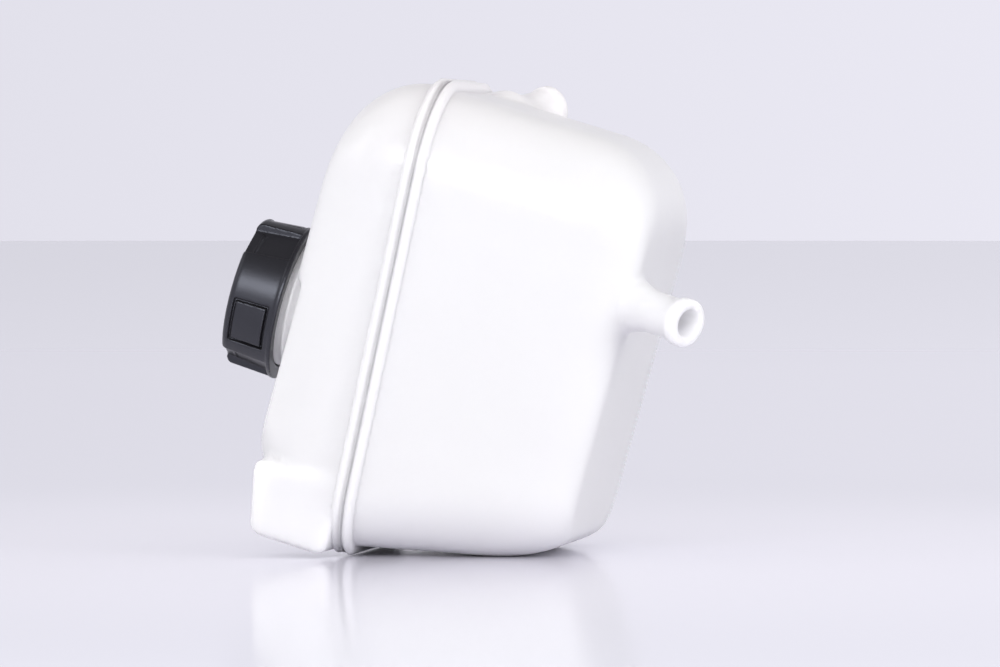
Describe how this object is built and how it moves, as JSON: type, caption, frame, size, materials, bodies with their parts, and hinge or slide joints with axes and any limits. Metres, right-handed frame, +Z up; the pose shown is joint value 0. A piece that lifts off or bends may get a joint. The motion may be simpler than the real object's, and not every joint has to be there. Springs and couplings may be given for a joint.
{
  "type": "coolant expansion tank",
  "caption": "Translucent moulded coolant expansion tank with a screw cap that holds the pressure and vacuum valves, hose stubs and a foot.",
  "frame": {"origin": "centre of the assembly's box in X and Y, on the surface that the tank lies on", "axes": "+Z up as the tank lies on its edge, X from the cap towards the bowl's end, Y along the tank's depth away from the side that the picture shows"},
  "size_m": [0.2102, 0.1436, 0.1955],
  "materials": {
    "tank_plastic": "milky translucent moulded polypropylene, satin",
    "cap_plastic": "black moulded plastic, satin",
    "insert_plastic": "dark grey moulded plastic",
    "valve_plastic": "natural moulded plastic",
    "seal_rubber": "black rubber",
    "spring_steel": "spring wire"
  },
  "bodies": {
    "tank": {"cover_shell": "tank_plastic", "bowl_shell": "tank_plastic"},
    "valve_insert": {"valve_housing": "insert_plastic", "neck_gasket": "seal_rubber", "upper_barrel_seal": "seal_rubber", "lower_barrel_seal": "seal_rubber", "spring_retainer": "insert_plastic", "pressure_spring": "spring_steel"},
    "cap": {"cap_shell": "cap_plastic"},
    "pressure_valve": {"pressure_plate": "valve_plastic", "plate_seal": "seal_rubber", "vacuum_spring": "spring_steel"},
    "vacuum_valve": {"vacuum_valve": "valve_plastic", "vacuum_seal": "seal_rubber", "vacuum_clip": "valve_plastic"}
  },
  "joints": [
    {"name": "cap_rise", "type": "slide", "parent": "tank", "child": "valve_insert", "axis": [-0.9636, 0, 0.2672], "range_m": [0, 0.008]},
    {"name": "cap_turn", "type": "hinge", "parent": "valve_insert", "child": "cap", "pos_m": [-0.07801, 0.00035, 0.10269], "axis": [-0.9636, 0, 0.2672], "range_deg": [0, 720.1]},
    {"name": "pressure_lift", "type": "slide", "parent": "valve_insert", "child": "pressure_valve", "axis": [-0.9636, 0, 0.2672], "range_m": [0, 0.003], "stiffness_N_per_m": 2000, "springref_m": -0.005, "deforming": ["pressure_spring"]},
    {"name": "vacuum_drop", "type": "slide", "parent": "pressure_valve", "child": "vacuum_valve", "axis": [0.9636, 0, -0.2672], "range_m": [0, 0.002], "stiffness_N_per_m": 150, "springref_m": -0.003, "deforming": ["vacuum_spring"]}
  ],
  "couplings": [
    {"joint": "cap_turn", "follows": "cap_rise", "rad_per_m": 1570.8}
  ]
}
